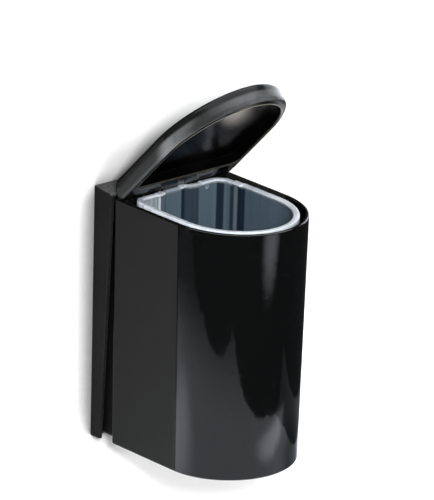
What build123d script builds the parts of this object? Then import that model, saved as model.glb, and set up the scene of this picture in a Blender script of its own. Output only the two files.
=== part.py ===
"""Small wall-hung waste bin: a black D-shaped body with a hinged lid and a lift-out liner bucket.

The origin is the centre of the four wall screws, on the wall. +Y points into the wall, +Z up.
The lid is modelled held open, as it stands while something is dropped in.
"""

import math
import os

from build123d import *

# Body: flat back and sides, and a front that is half an ellipse. It draws in towards the floor.
body_width = 105.0
side_length = 68.0
front_reach = 59.0
body_height = 189.0
side_draft = 0.8
front_draft = 7.5
body_wall = 2.5
floor_round = 1.2
rim_round = 0.8
body_back_round = 1.5

# Bracket: a plate on the wall with two tapering cheeks and a sloping hood.
stand_off = 22.5
plate_thickness = 3.0
cheek_thickness = 2.5
hood_rise_wall = 4.0
hood_rise_front = 2.0
cheek_gap_top = 3.3
cheek_gap_bottom = 12.5
cheek_round = 3.0
bracket_edge_round = 0.8

# Wall screws, which go through the bracket's plate.
screw_spacing_x = 64.0
screw_spacing_z = 110.0
wall_screw_radius = 2.25
wall_screw_sink_radius = 4.2

# Hooks on the bracket, and how far the bin lifts to leave them.
hook_spacing = 48.0
hook_width = 14.0
hook_height = 40.0
hook_stub = 3.5
hook_lip = 8.0
hook_lip_thickness = 3.0
lift_travel = 9.5
hang_gap = 0.2
hook_side_gap = 1.0
hook_run_gap = 0.8
hook_lip_gap = 0.4

# Rear panel: the narrower back of the bin, which nests between the cheeks.
panel_side_inset = 6.0
panel_depth = 17.0
panel_wall = 2.2
panel_lift = 1.5
panel_drop = 22.0
panel_corner = 3.0

# Screws that hold the rear panel to the body: how far out, above its foot and below its top.
panel_screw_x = 36.0
panel_screw_low = 26.0
panel_screw_high = 27.0
panel_screw_radius = 1.5
panel_screw_head_radius = 2.9
panel_screw_head = 1.6
panel_screw_slot = 0.6
panel_boss_radius = 3.6
body_boss_radius = 3.2
body_boss_length = 3.5

# Rubber pads that keep the bottom of the bin off the bracket.
pad_radius = 6.0
pad_height_from_floor = 20.0
pad_x = 22.0
pad_gap = 0.3

# Lid and its hinge.
lid_height = 15.0
lid_wall = 2.2
lid_seat_gap = 0.4
lid_edge_round = 3.6
lid_open_angle = 45.0
hinge_inset = 5.0
hinge_rise = 5.5
pin_radius = 1.5
pin_clearance = 0.05
pin_end_inset = 4.5
knuckle_depth = 5.6
cavity_corner = 1.0
ear_offset = 24.0
ear_width = 11.0
ear_radius = 3.6
ear_side_gap = 0.8
ear_swing_gap = 0.5
plug_radius = 2.4
plug_length = 1.5

# Lid inner panel and its seal.
inner_gap = 0.1
inner_wall = 1.6
inner_recess_depth = 8.0
inner_side_border = 2.0
inner_front_border = 7.5
inner_rear_border = 18.0
inner_corner = 6.0
seal_width = 1.2
seal_height = 1.0
seal_proud = 0.15

# Hinge deck across the back corners of the body.
deck_drop = 1.2
deck_depth = 3.2
deck_thickness = 2.5
deck_clear_half = 17.0

# Liner bucket, which stands in the body.
liner_gap = 4.1
liner_drop = 1.3
liner_wall = 1.6
liner_lip = 1.9
liner_lip_height = 4.0
liner_lip_thickness = 1.1
liner_back_gap = 8.0
liner_bulge = 2.2
liner_bulge_half = 10.0
liner_bulge_flank = 4.5
liner_step_1 = 21.0
liner_step_2 = 31.0
liner_step_in = 1.3
liner_corner = 6.0
liner_side_draft = 1.6
liner_front_draft = 9.0
liner_foot_gap = 0.3

# Levels and planes that follow from the sizes above.
rim_z = body_height / 2
base_z = -body_height / 2
back_y = -stand_off
plate_front_y = -plate_thickness
hinge_y = back_y - hinge_inset
hinge_z = rim_z + hinge_rise
half_width = body_width / 2
body_back_inside = back_y - body_wall
barrel_radius = hinge_rise - lid_seat_gap
lid_top = lid_height - hinge_rise
panel_rear_y = back_y + panel_depth
panel_top_z = rim_z - panel_drop
panel_low_z = base_z + panel_lift
panel_half = half_width - panel_side_inset
panel_middle_z = (panel_top_z + panel_low_z) / 2

os.makedirs("parts", exist_ok=True)


def d_profile(plane, half, straight, reach, back, corner):
    """A face with a half-elliptical front, flat sides and a flat back with rounded corners."""
    front = back - straight
    with BuildSketch(plane) as profile:
        with BuildLine():
            Line((-half, back - corner), (-half, front))
            EllipticalCenterArc((0, front), half, reach, start_angle=180, arc_size=90)
            EllipticalCenterArc((0, front), half, reach, start_angle=270, arc_size=90)
            Line((half, front), (half, back - corner))
            CenterArc((half - corner, back - corner), corner, 0, 90)
            Line((half - corner, back), (corner - half, back))
            CenterArc((corner - half, back - corner), corner, 90, 90)
        make_face()
    return profile.sketch


def round_spots(places, radius, y):
    """Discs of one radius on the plane at y, one at each (x, z) place."""
    with BuildSketch(Plane.XZ.offset(-y)) as profile:
        with Locations(*places):
            Circle(radius)
    return profile.sketch


# ---------------------------------------------------------------- wall bracket
def hook_profile(x):
    """Side view of a hook: a stub out of the plate, with a lip turned up at its end."""
    lip_back = panel_rear_y - panel_wall - hook_lip_gap
    lip_front = lip_back - hook_lip_thickness
    with BuildSketch(Plane.YZ.offset(x)) as profile:
        with BuildLine():
            Polyline(
                (plate_front_y, hook_height),
                (lip_back, hook_height),
                (lip_back, hook_height + hook_lip),
                (lip_front, hook_height + hook_lip),
                (lip_front, hook_height - hook_stub),
                (plate_front_y, hook_height - hook_stub),
                close=True,
            )
        make_face()
        fillet(profile.vertices().group_by(Axis.Y)[0], hook_lip_thickness / 4)
    return profile.sketch


with BuildPart() as wall_bracket:
    with BuildSketch(Plane.YZ.offset(-half_width)):
        with BuildLine():
            Polyline(
                (0, base_z),
                (0, rim_z + hood_rise_wall),
                (back_y + cheek_gap_top, rim_z + hood_rise_front),
                (back_y + cheek_gap_bottom, base_z),
                close=True,
            )
        make_face()
    extrude(amount=body_width)
    fillet(wall_bracket.edges().filter_by(Axis.X).sort_by(Axis.Y)[0], cheek_round)
    # Soften the cheeks' front and top edges, but not the edges on the wall or at the open bottom.
    cheek_edges = wall_bracket.faces().filter_by(Axis.X).edges()
    wall_edges = wall_bracket.faces().sort_by(Axis.Y)[-1].edges()
    low_edges = wall_bracket.faces().sort_by(Axis.Z)[0].edges()
    fillet(cheek_edges - wall_edges - low_edges, bracket_edge_round)
    # The hollow between the cheeks, in front of the plate and below the hood.
    with BuildSketch(Plane.YZ.offset(cheek_thickness - half_width)):
        with BuildLine():
            Polyline(
                (plate_front_y, base_z - cheek_thickness),
                (plate_front_y, rim_z + hood_rise_wall - cheek_thickness),
                (back_y, rim_z + hood_rise_front - cheek_thickness),
                (back_y, base_z - cheek_thickness),
                close=True,
            )
        make_face()
    extrude(amount=body_width - 2 * cheek_thickness, mode=Mode.SUBTRACT)
    with Locations(Plane(origin=(0, plate_front_y, 0), x_dir=(1, 0, 0), z_dir=(0, -1, 0))):
        with GridLocations(screw_spacing_x, screw_spacing_z, 2, 2):
            CounterSinkHole(wall_screw_radius, wall_screw_sink_radius, plate_thickness)
    for side in (-1, 1):
        extrude(hook_profile(side * hook_spacing / 2 - hook_width / 2), amount=hook_width)
wall_bracket.part.label = "wall_bracket"
export_step(wall_bracket.part, "parts/wall_bracket.step")

# ---------------------------------------------------------------- body shell
screw_levels = (base_z + panel_screw_low, panel_top_z - panel_screw_high)
screw_spots = [(x, z) for x in (-panel_screw_x, panel_screw_x) for z in screw_levels]


def body_section(z, inset):
    """The body's section at height z, drawn in by inset on every side."""
    share = (rim_z - z) / body_height
    half = half_width - side_draft * share - inset
    reach = front_reach - front_draft * share - inset
    plane = Plane.XY.offset(z)
    return d_profile(plane, half, side_length - inset, reach, back_y - inset, body_back_round)


def ear_profile(x):
    """Side view of a hinge ear: an eye on the hinge line with a web down to the deck."""
    web_low = rim_z - deck_drop - deck_thickness
    web_back = body_back_inside
    web_front = body_back_inside - deck_depth
    with BuildSketch(Plane.YZ.offset(x)) as profile:
        with Locations((hinge_y, hinge_z)):
            Circle(ear_radius)
        with Locations(((web_back + web_front) / 2, (hinge_z + web_low) / 2)):
            Rectangle(web_back - web_front, hinge_z - web_low)
        with Locations((hinge_y, hinge_z)):
            Circle(pin_radius, mode=Mode.SUBTRACT)
    return profile.sketch


with BuildPart() as body_shell:
    loft([body_section(base_z, 0), body_section(rim_z, 0)], ruled=True)
    fillet(body_shell.faces().sort_by(Axis.Z)[0].edges(), floor_round)
    fillet(body_shell.faces().sort_by(Axis.Z)[-1].edges(), rim_round)
    inner_sections = [body_section(base_z + body_wall, body_wall), body_section(rim_z, body_wall)]
    loft(inner_sections, ruled=True, mode=Mode.SUBTRACT)
    # A deck in each back corner carries a hinge ear.
    for side in (-1, 1):
        deck_width = half_width - body_wall - deck_clear_half
        with BuildSketch(Plane.XY.offset(rim_z - deck_drop)):
            with Locations((side * (deck_clear_half + deck_width / 2), body_back_inside - deck_depth / 2)):
                Rectangle(deck_width, deck_depth)
        extrude(amount=-deck_thickness)
        extrude(ear_profile(side * ear_offset - ear_width / 2), amount=ear_width)
    # Bosses inside the back wall, into which the rear panel is screwed.
    extrude(round_spots(screw_spots, body_boss_radius, body_back_inside), amount=body_boss_length)
    screw_reach = body_wall + body_boss_length
    extrude(round_spots(screw_spots, panel_screw_radius, back_y), amount=screw_reach, mode=Mode.SUBTRACT)
body_shell.part.label = "body_shell"
export_step(body_shell.part, "parts/body_shell.step")

# ---------------------------------------------------------------- rear panel
with BuildPart() as rear_panel:
    with BuildSketch(Plane.XZ.offset(-panel_rear_y)):
        with Locations((0, panel_middle_z)):
            RectangleRounded(2 * panel_half, panel_top_z - panel_low_z, panel_corner)
    extrude(amount=panel_depth)
    fillet(rear_panel.faces().sort_by(Axis.Y)[-1].edges(), panel_wall / 2)
    with BuildSketch(Plane.XZ.offset(panel_wall - panel_rear_y)):
        with Locations((0, panel_middle_z)):
            Rectangle(2 * (panel_half - panel_wall), panel_top_z - panel_low_z - 2 * panel_wall)
    extrude(amount=panel_depth - panel_wall, mode=Mode.SUBTRACT)
    # Tubes that carry the screws from the back of the panel to the body.
    extrude(round_spots(screw_spots, panel_boss_radius, panel_rear_y), amount=panel_depth)
    screw_bores = round_spots(screw_spots, panel_screw_radius, panel_rear_y)
    extrude(screw_bores, amount=panel_depth, mode=Mode.SUBTRACT)
    # Windows for the hooks. The top edge of each window hangs on its hook.
    window_top = hook_height + hang_gap
    window_low = hook_height - hook_stub - lift_travel - hook_run_gap
    with BuildSketch(Plane.XZ.offset(-panel_rear_y)):
        with Locations((0, (window_top + window_low) / 2)):
            with GridLocations(hook_spacing, 1, 2, 1):
                Rectangle(hook_width + 2 * hook_side_gap, window_top - window_low)
    extrude(amount=panel_wall, mode=Mode.SUBTRACT)
rear_panel.part.label = "rear_panel"
export_step(rear_panel.part, "parts/rear_panel.step")

# ---------------------------------------------------------------- rear panel screws
with BuildPart() as rear_panel_screws:
    extrude(round_spots(screw_spots, panel_screw_head_radius, panel_rear_y), amount=-panel_screw_head)
    fillet(rear_panel_screws.faces().group_by(Axis.Y)[-1].edges(), panel_screw_head / 2)
    extrude(round_spots(screw_spots, panel_screw_radius, panel_rear_y), amount=panel_depth + screw_reach)
    # Cross recess in each head.
    with BuildSketch(Plane.XZ.offset(-panel_rear_y - panel_screw_head)):
        with Locations(*screw_spots):
            Rectangle(panel_screw_head_radius, panel_screw_slot)
            Rectangle(panel_screw_slot, panel_screw_head_radius)
    extrude(amount=panel_screw_head / 2, mode=Mode.SUBTRACT)
rear_panel_screws.part.label = "rear_panel_screws"
export_step(rear_panel_screws.part, "parts/rear_panel_screws.step")

# ---------------------------------------------------------------- rubber pads
pad_thickness = plate_front_y - panel_rear_y - pad_gap
for side, name in ((-1, "rubber_pad_left"), (1, "rubber_pad_right")):
    with BuildPart() as rubber_pad:
        spot = (side * pad_x, base_z + pad_height_from_floor)
        extrude(round_spots([spot], pad_radius, panel_rear_y), amount=-pad_thickness)
        chamfer(rubber_pad.faces().sort_by(Axis.Y)[-1].edges(), pad_thickness / 4)
    rubber_pad.part.label = name
    export_step(rubber_pad.part, f"parts/{name}.step")

# ---------------------------------------------------------------- lid planes
# The lid's own frame has its origin on the hinge line, and is tipped back by the opening angle.
open_radians = math.radians(lid_open_angle)
lid_frame = Plane(
    origin=(0, hinge_y, hinge_z),
    x_dir=(1, 0, 0),
    z_dir=(0, math.sin(open_radians), math.cos(open_radians)),
)
lid_low = lid_frame.offset(-barrel_radius)
lid_back = hinge_inset
lid_front = lid_back - side_length - front_reach
round_start = lid_back - side_length


def lid_side(x):
    """A plane along the lid at x, whose own axes run to the back and up."""
    origin = lid_frame.from_local_coords(Vector(x, 0, 0))
    return Plane(origin=origin, x_dir=lid_frame.y_dir, z_dir=lid_frame.x_dir)


def hinge_disc(x, radius):
    """A disc on the hinge line at x."""
    with BuildSketch(lid_side(x)) as profile:
        Circle(radius)
    return profile.sketch


# ---------------------------------------------------------------- lid shell
with BuildPart() as lid_shell:
    # Side view: round at the back, so that the lid rolls over the body's back edge.
    with BuildSketch(lid_side(-half_width)):
        with BuildLine():
            Line((lid_front, -barrel_radius), (0, -barrel_radius))
            CenterArc((0, 0), barrel_radius, -90, 90)
            CenterArc((barrel_radius - lid_top, 0), lid_top, 0, 90)
            Line((barrel_radius - lid_top, lid_top), (lid_front, lid_top))
            Line((lid_front, lid_top), (lid_front, -barrel_radius))
        make_face()
    extrude(amount=body_width)
    plan = d_profile(lid_low, half_width, side_length + lid_top, front_reach, lid_back + lid_top, lid_top)
    extrude(plan, amount=lid_height, mode=Mode.INTERSECT)
    # Round the top edge all the way from the back of the lid to its front.
    rear_face = lid_shell.faces().filter_by(GeomType.CYLINDER).sort_by(SortBy.AREA)[-1]
    top_face = lid_shell.faces().sort_by(Axis(lid_frame.origin, lid_frame.z_dir))[-1]
    rim_edges = (top_face.edges() + rear_face.edges()) - lid_shell.edges().filter_by(Axis.X)
    fillet(rim_edges, lid_edge_round)
    cavity_straight = -knuckle_depth - round_start
    cavity_reach = front_reach - lid_wall
    cavity = d_profile(
        lid_low, half_width - lid_wall, cavity_straight, cavity_reach, -knuckle_depth, cavity_corner
    )
    extrude(cavity, amount=lid_top + barrel_radius - lid_wall, mode=Mode.SUBTRACT)
    # Room for the body's two ears, between three knuckles.
    for side in (-1, 1):
        room_start = side * ear_offset - ear_width / 2 - ear_side_gap
        with BuildSketch(lid_side(room_start)):
            Circle(ear_radius + ear_swing_gap)
            with Locations((0, (ear_radius - barrel_radius) / 2)):
                Rectangle(2 * knuckle_depth, barrel_radius + ear_radius)
        extrude(amount=ear_width + 2 * ear_side_gap, mode=Mode.SUBTRACT)
    # Bore for the hinge pin, and the wider mouth that the plug closes.
    bore = hinge_disc(pin_end_inset - half_width, pin_radius + pin_clearance)
    extrude(bore, amount=body_width - pin_end_inset, mode=Mode.SUBTRACT)
    extrude(hinge_disc(half_width, plug_radius), amount=-plug_length, mode=Mode.SUBTRACT)
lid_shell.part.label = "lid_shell"
export_step(lid_shell.part, "parts/lid_shell.step")

# ---------------------------------------------------------------- hinge pin and plug
with BuildPart() as hinge_pin:
    pin_length = body_width - 2 * pin_end_inset - 2 * pin_clearance
    extrude(hinge_disc(-pin_length / 2, pin_radius), amount=pin_length)
    chamfer(hinge_pin.edges().filter_by(GeomType.CIRCLE), pin_radius / 5)
hinge_pin.part.label = "hinge_pin"
export_step(hinge_pin.part, "parts/hinge_pin.step")

with BuildPart() as hinge_plug:
    extrude(hinge_disc(half_width, plug_radius), amount=-plug_length)
    extrude(hinge_disc(half_width - plug_length, pin_radius), amount=-plug_length)
hinge_plug.part.label = "hinge_plug"
export_step(hinge_plug.part, "parts/hinge_plug.step")

# ---------------------------------------------------------------- lid inner panel
inner_half = half_width - lid_wall - inner_gap
panel_back = -knuckle_depth - inner_gap
panel_reach = front_reach - lid_wall - inner_gap


def recess_profile(plane, grow):
    """The outline of the lid's recess, with rounded back corners, grown by grow."""
    half = inner_half - inner_side_border + grow
    back = lid_back - inner_rear_border + grow
    reach = front_reach - inner_front_border + grow
    return d_profile(plane, half, back - round_start, reach, back, inner_corner + grow)


with BuildPart() as lid_inner_panel:
    panel_straight = panel_back - round_start
    extrude(
        d_profile(lid_low, inner_half, panel_straight, panel_reach, panel_back, cavity_corner),
        amount=inner_wall,
    )
    extrude(recess_profile(lid_low, inner_wall), amount=inner_recess_depth + inner_wall)
    extrude(recess_profile(lid_low, 0), amount=inner_recess_depth, mode=Mode.SUBTRACT)
    # Seat for the seal, round the recess.
    extrude(recess_profile(lid_low, seal_width), amount=seal_height, mode=Mode.SUBTRACT)
lid_inner_panel.part.label = "lid_inner_panel"
export_step(lid_inner_panel.part, "parts/lid_inner_panel.step")

# ---------------------------------------------------------------- lid seal
with BuildPart() as lid_seal:
    seal_low = lid_low.offset(-seal_proud)
    extrude(recess_profile(seal_low, seal_width), amount=seal_height + seal_proud)
    extrude(recess_profile(seal_low, 0), amount=seal_height + seal_proud, mode=Mode.SUBTRACT)
lid_seal.part.label = "lid_seal"
export_step(lid_seal.part, "parts/lid_seal.step")

# ---------------------------------------------------------------- liner bucket
liner_top = rim_z - liner_drop
liner_low = base_z + body_wall + liner_foot_gap


def liner_section(z, inset, level):
    """The liner's section for height z, drawn in by inset on every side, placed at level."""
    share = (liner_top - z) / (liner_top - liner_low)
    side = half_width - body_wall - liner_gap - liner_lip - liner_side_draft * share - inset
    reach = front_reach - body_wall - liner_gap - liner_lip - liner_front_draft * share - inset
    back = back_y - liner_back_gap - inset
    front = back_y - side_length
    waist = side - 2 * liner_step_in
    middle = side - liner_step_in
    right = [
        (liner_bulge_half - inset, back + liner_bulge),
        (liner_bulge_half + liner_bulge_flank - inset, back),
        (waist - liner_corner, back),
        (waist, back - liner_corner),
        (waist, back_y - liner_step_1),
        (middle, back_y - liner_step_1 - liner_step_in),
        (middle, back_y - liner_step_2),
        (side, back_y - liner_step_2 - liner_step_in),
        (side, front),
    ]
    left = [(-x, y) for x, y in reversed(right)]
    with BuildSketch(Plane.XY.offset(level)) as profile:
        with BuildLine():
            Polyline(*left, *right)
            EllipticalCenterArc((0, front), side, reach, start_angle=180, arc_size=180)
        make_face()
    return profile.sketch


with BuildPart() as liner_bucket:
    outer_sections = [liner_section(liner_low, 0, liner_low), liner_section(liner_top, 0, liner_top)]
    loft(outer_sections, ruled=True)
    # The rim turns out and down. The groove behind it is cut first, and then the wall is filled again.
    lip_low = liner_top - liner_lip_height
    extrude(liner_section(liner_top, -liner_lip, lip_low), amount=liner_lip_height)
    extrude(
        liner_section(liner_top, liner_lip_thickness - liner_lip, lip_low),
        amount=liner_lip_height - liner_lip_thickness,
        mode=Mode.SUBTRACT,
    )
    loft(outer_sections, ruled=True)
    floor_top = liner_low + liner_wall
    inner_low = liner_section(floor_top, liner_wall, floor_top)
    inner_top = liner_section(liner_top, liner_wall, liner_top)
    loft([inner_low, inner_top], ruled=True, mode=Mode.SUBTRACT)
liner_bucket.part.label = "liner_bucket"
export_step(liner_bucket.part, "parts/liner_bucket.step")
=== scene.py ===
import math

import bmesh
import bpy
from mathutils import Matrix, Vector


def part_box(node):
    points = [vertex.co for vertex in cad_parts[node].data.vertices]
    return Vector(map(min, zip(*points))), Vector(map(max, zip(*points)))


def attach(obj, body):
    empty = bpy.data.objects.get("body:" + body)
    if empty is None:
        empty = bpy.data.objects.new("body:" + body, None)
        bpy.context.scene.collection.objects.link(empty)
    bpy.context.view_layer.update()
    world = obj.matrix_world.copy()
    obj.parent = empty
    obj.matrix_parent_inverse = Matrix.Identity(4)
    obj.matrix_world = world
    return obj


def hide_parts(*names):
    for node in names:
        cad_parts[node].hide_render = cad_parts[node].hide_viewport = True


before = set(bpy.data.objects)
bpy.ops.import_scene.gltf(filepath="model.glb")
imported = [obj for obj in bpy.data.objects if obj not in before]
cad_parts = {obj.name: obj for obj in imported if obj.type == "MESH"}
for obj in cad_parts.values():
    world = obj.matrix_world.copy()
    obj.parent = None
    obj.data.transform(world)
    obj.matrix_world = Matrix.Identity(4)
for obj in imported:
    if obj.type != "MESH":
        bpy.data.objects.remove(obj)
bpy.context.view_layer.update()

# ---------------------------------------------------------------- wall bracket
# The bracket is one black ABS moulding, screwed to the wall, with a cheek down each side and a
# sloping hood. Its skin is spark-eroded in the mould, so it has a fine even grain and a low sheen.
MM = 0.001
BRACKET_COLOUR = (0.0085, 0.0085, 0.0082)
# Corner colour: part wear, part painted highlight.
BRACKET_WORN_LIT_EDGES = (0.06, 0.06, 0.058)
TOP_SPECK_COLOUR = (0.16, 0.16, 0.155)
TOP_SPECK_AMOUNT = 0.65


def new_group(name, inputs, outputs):
    """An empty shader node group with float inputs {name: value} and named outputs {name: type}."""
    group = bpy.data.node_groups.new(name, "ShaderNodeTree")
    for label, value in inputs.items():
        socket = group.interface.new_socket(label, in_out="INPUT", socket_type="NodeSocketFloat")
        socket.default_value = value
    for label, kind in outputs.items():
        group.interface.new_socket(label, in_out="OUTPUT", socket_type=kind)
    return group, group.nodes.new("NodeGroupInput"), group.nodes.new("NodeGroupOutput")


def node(tree, kind, values=None, **settings):
    """A shader node with its settings and the values of its named or numbered inputs."""
    made = tree.nodes.new(kind)
    for key, value in settings.items():
        setattr(made, key, value)
    for key, value in (values or {}).items():
        made.inputs[key].default_value = value
    return made


def maths(tree, operation, a, b=None, clamp=False):
    """One Math node. a and b are sockets or numbers."""
    made = node(tree, "ShaderNodeMath", operation=operation, use_clamp=clamp)
    for slot, value in zip(made.inputs, (a, b)):
        if hasattr(value, "is_linked"):
            tree.links.new(value, slot)
        elif value is not None:
            slot.default_value = value
    return made.outputs[0]


def ramp(tree, source, low, high):
    """A smooth step of source from 0 at low to 1 at high."""
    ends = {"From Min": low, "From Max": high}
    made = node(tree, "ShaderNodeMapRange", ends, interpolation_type="SMOOTHSTEP")
    tree.links.new(source, made.inputs["Value"])
    return made.outputs["Result"]


def noise(tree, place, per_metre, detail=2.0, roughness=0.5):
    """Noise with that many cells to the metre, in the object's own coordinates."""
    values = {"Scale": per_metre, "Detail": detail, "Roughness": roughness}
    made = node(tree, "ShaderNodeTexNoise", values)
    tree.links.new(place, made.inputs["Vector"])
    return made.outputs["Fac"]


def moulded_grain_group():
    """Fine spark-eroded grain, and slow patches where hands have polished it."""
    group, into, out = new_group(
        "moulded grain",
        {"Cells per metre": 2200.0, "Patches per metre": 22.0},
        {"Height": "NodeSocketFloat", "Patch": "NodeSocketFloat"},
    )
    place = node(group, "ShaderNodeTexCoord").outputs["Object"]
    grain = node(group, "ShaderNodeTexNoise", {"Detail": 3.0, "Roughness": 0.6})
    patch = node(group, "ShaderNodeTexNoise", {"Detail": 4.0, "Roughness": 0.6, "Distortion": 0.3})
    group.links.new(into.outputs["Cells per metre"], grain.inputs["Scale"])
    group.links.new(into.outputs["Patches per metre"], patch.inputs["Scale"])
    for texture in (grain, patch):
        group.links.new(place, texture.inputs["Vector"])
    group.links.new(grain.outputs["Fac"], out.inputs["Height"])
    group.links.new(ramp(group, patch.outputs["Fac"], 0.35, 0.65), out.inputs["Patch"])
    return group


def edge_wear_and_highlight_group():
    """Corners, with wear and a painted highlight: where the rounded normal parts from the flat one,
    broken up by noise.
    """
    group, into, out = new_group("edge wear and highlight", {"Width": 0.6 * MM}, {"Mask": "NodeSocketFloat"})
    rounded = node(group, "ShaderNodeBevel", samples=4)
    group.links.new(into.outputs["Width"], rounded.inputs["Radius"])
    shape = node(group, "ShaderNodeNewGeometry")
    turned = node(group, "ShaderNodeVectorMath", operation="DOT_PRODUCT")
    group.links.new(rounded.outputs["Normal"], turned.inputs[0])
    group.links.new(shape.outputs["Normal"], turned.inputs[1])
    bend = ramp(group, maths(group, "SUBTRACT", 1.0, turned.outputs["Value"]), 0.01, 0.16)
    place = node(group, "ShaderNodeTexCoord").outputs["Object"]
    broken = ramp(group, noise(group, place, 420.0, 3.0), 0.38, 0.62)
    group.links.new(maths(group, "MULTIPLY", bend, broken), out.inputs["Mask"])
    return group


moulded_grain = moulded_grain_group()
edge_wear_and_highlight = edge_wear_and_highlight_group()


def new_material(name, colour, roughness, **shader_values):
    """A material with one Principled shader, with its plain values on the shader's own sockets."""
    made = bpy.data.materials.new(name)
    made.use_nodes = True
    made.diffuse_color = (*colour, 1.0)
    shader = made.node_tree.nodes["Principled BSDF"]
    shader.inputs["Base Color"].default_value = (*colour, 1.0)
    shader.inputs["Roughness"].default_value = roughness
    for key, value in shader_values.items():
        shader.inputs[key.replace("_", " ")].default_value = value
    return made, made.node_tree, shader


def mix_colours(tree, share, low, high):
    """low where share is 0, high where it is 1. low and high are colours or sockets."""
    made = node(tree, "ShaderNodeMix", data_type="RGBA")
    tree.links.new(share, made.inputs["Factor"])
    colour_slots = [s for s in made.inputs if s.type == "RGBA"]
    for slot, value in zip(colour_slots, (low, high)):
        if hasattr(value, "is_linked"):
            tree.links.new(value, slot)
        else:
            slot.default_value = (*value, 1.0)
    return [s for s in made.outputs if s.type == "RGBA"][0]


def mix_values(tree, share, low, high):
    """The number low where share is 0, and high where it is 1. Either may be a socket."""
    made = node(tree, "ShaderNodeMix", data_type="FLOAT")
    tree.links.new(share, made.inputs[0])
    for slot, value in ((made.inputs[2], low), (made.inputs[3], high)):
        if hasattr(value, "is_linked"):
            tree.links.new(value, slot)
        else:
            slot.default_value = value
    return made.outputs[0]


def bump(tree, shader, height, depth, strength=1.0):
    """Feeds height into the shader's normal. depth is the real depth in metres."""
    made = node(tree, "ShaderNodeBump", {"Distance": depth, "Strength": strength})
    tree.links.new(height, made.inputs["Height"])
    tree.links.new(made.outputs["Normal"], shader.inputs["Normal"])


def satin_plastic(name, colour, worn_lit_colour, roughness, specular, grain_cells, grain_depth):
    """Grained black ABS, a little more polished in patches, and paler along its corners from wear
    and a painted highlight.
    """
    made, tree, shader = new_material(name, colour, roughness, Specular_IOR_Level=specular)
    grain = node(tree, "ShaderNodeGroup", node_tree=moulded_grain)
    grain.inputs["Cells per metre"].default_value = grain_cells
    edge_wear_light = node(tree, "ShaderNodeGroup", node_tree=edge_wear_and_highlight)
    patched = mix_colours(tree, grain.outputs["Patch"], colour, [c * 1.25 for c in colour])
    edge_worn_lit = mix_colours(tree, edge_wear_light.outputs["Mask"], patched, worn_lit_colour)
    tree.links.new(edge_worn_lit, shader.inputs["Base Color"])
    patch_sheen = mix_values(tree, grain.outputs["Patch"], roughness + 0.05, roughness - 0.05)
    tree.links.new(patch_sheen, shader.inputs["Roughness"])
    bump(tree, shader, grain.outputs["Height"], grain_depth)
    return made


def paint(name, material):
    """Gives a CAD node its material."""
    for material_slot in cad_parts[name].material_slots:
        material_slot.material = material


def pale_specks_on_top(material, pale, amount):
    """Lightens a satin plastic's upward faces with pale broken specks."""
    tree = material.node_tree
    shader = tree.nodes["Principled BSDF"]
    under = shader.inputs["Base Color"].links[0].from_socket
    facing = node(tree, "ShaderNodeSeparateXYZ")
    tree.links.new(node(tree, "ShaderNodeNewGeometry").outputs["Normal"], facing.inputs["Vector"])
    place = node(tree, "ShaderNodeTexCoord").outputs["Object"]
    specks = ramp(tree, noise(tree, place, 700.0, 4.0, 0.7), 0.25, 0.8)
    lying = maths(tree, "MULTIPLY", ramp(tree, facing.outputs["Z"], 0.3, 0.8), specks)
    share = maths(tree, "MULTIPLY", lying, amount)
    tree.links.new(mix_colours(tree, share, under, pale), shader.inputs["Base Color"])


bracket_black = satin_plastic(
    "bracket_black", BRACKET_COLOUR, BRACKET_WORN_LIT_EDGES,
    roughness=0.46, specular=0.1, grain_cells=2600.0, grain_depth=0.02 * MM,
)
pale_specks_on_top(bracket_black, TOP_SPECK_COLOUR, TOP_SPECK_AMOUNT)
paint("wall_bracket", bracket_black)

# ---------------------------------------------------------------- body shell
# The body is a deep D-shaped tub of gloss black ABS. Its round front is mould-polished, and its
# flat sides are satin. Handling leaves hairlines, faint smears and a little dust on it.
body_lo, body_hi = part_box("body_shell")
BODY_POLISHED = (0.0018, 0.0021, 0.0021)
BODY_SATIN = (0.0118, 0.0122, 0.0112)
SPECK_COLOUR = (0.07, 0.07, 0.068)
# Paler corners on the gloss: part wear, part painted highlight.
WORN_LIT_EDGE_COLOUR = (0.09, 0.09, 0.092)
POLISHED_SPECULAR = 0.5
SATIN_SPECULAR = 0.12
FRONT_REACH = 59.0 * MM
SATIN_SHORT_OF_CURVE = 2.2 * MM
SATIN_BLEND = 0.8 * MM
# Where the line of painted shade runs, in front of the satin sides.
PAINTED_DARK_LINE = (1.6 * MM, 1.0 * MM)
FLAT_SIDE = (0.988, 0.9945)
SCRATCH_DEPTH = 0.0015 * MM
satin_end = body_lo.y + FRONT_REACH - SATIN_SHORT_OF_CURVE


def hairline_group():
    """Fine scratches in two directions, specks of dust, and smears."""
    group, into, out = new_group(
        "hairlines",
        {"Amount": 1.0},
        {"Height": "NodeSocketFloat", "Smear": "NodeSocketFloat", "Dust": "NodeSocketFloat"},
    )
    place = node(group, "ShaderNodeTexCoord").outputs["Object"]
    lines = []
    for turn, stretch in ((0.35, (900.0, 900.0, 14.0)), (-0.6, (16.0, 700.0, 700.0))):
        values = {"Rotation": (turn, turn / 2, 0.0), "Scale": stretch}
        squeezed = node(group, "ShaderNodeMapping", values)
        group.links.new(place, squeezed.inputs["Vector"])
        lines.append(ramp(group, noise(group, squeezed.outputs["Vector"], 1.0, 1.0), 0.62, 0.72))
    scratched = maths(group, "ADD", lines[0], lines[1], clamp=True)
    height = maths(group, "MULTIPLY", scratched, into.outputs["Amount"])
    group.links.new(height, out.inputs["Height"])
    smear = ramp(group, noise(group, place, 34.0, 5.0, 0.65), 0.42, 0.72)
    group.links.new(smear, out.inputs["Smear"])
    specks = node(group, "ShaderNodeTexVoronoi", {"Scale": 900.0, "Randomness": 1.0})
    group.links.new(place, specks.inputs["Vector"])
    near = ramp(group, specks.outputs["Distance"], 0.16, 0.08)
    few = ramp(group, noise(group, place, 260.0, 0.0), 0.66, 0.72)
    group.links.new(maths(group, "MULTIPLY", near, few), out.inputs["Dust"])
    return group


hairlines = hairline_group()


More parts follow.
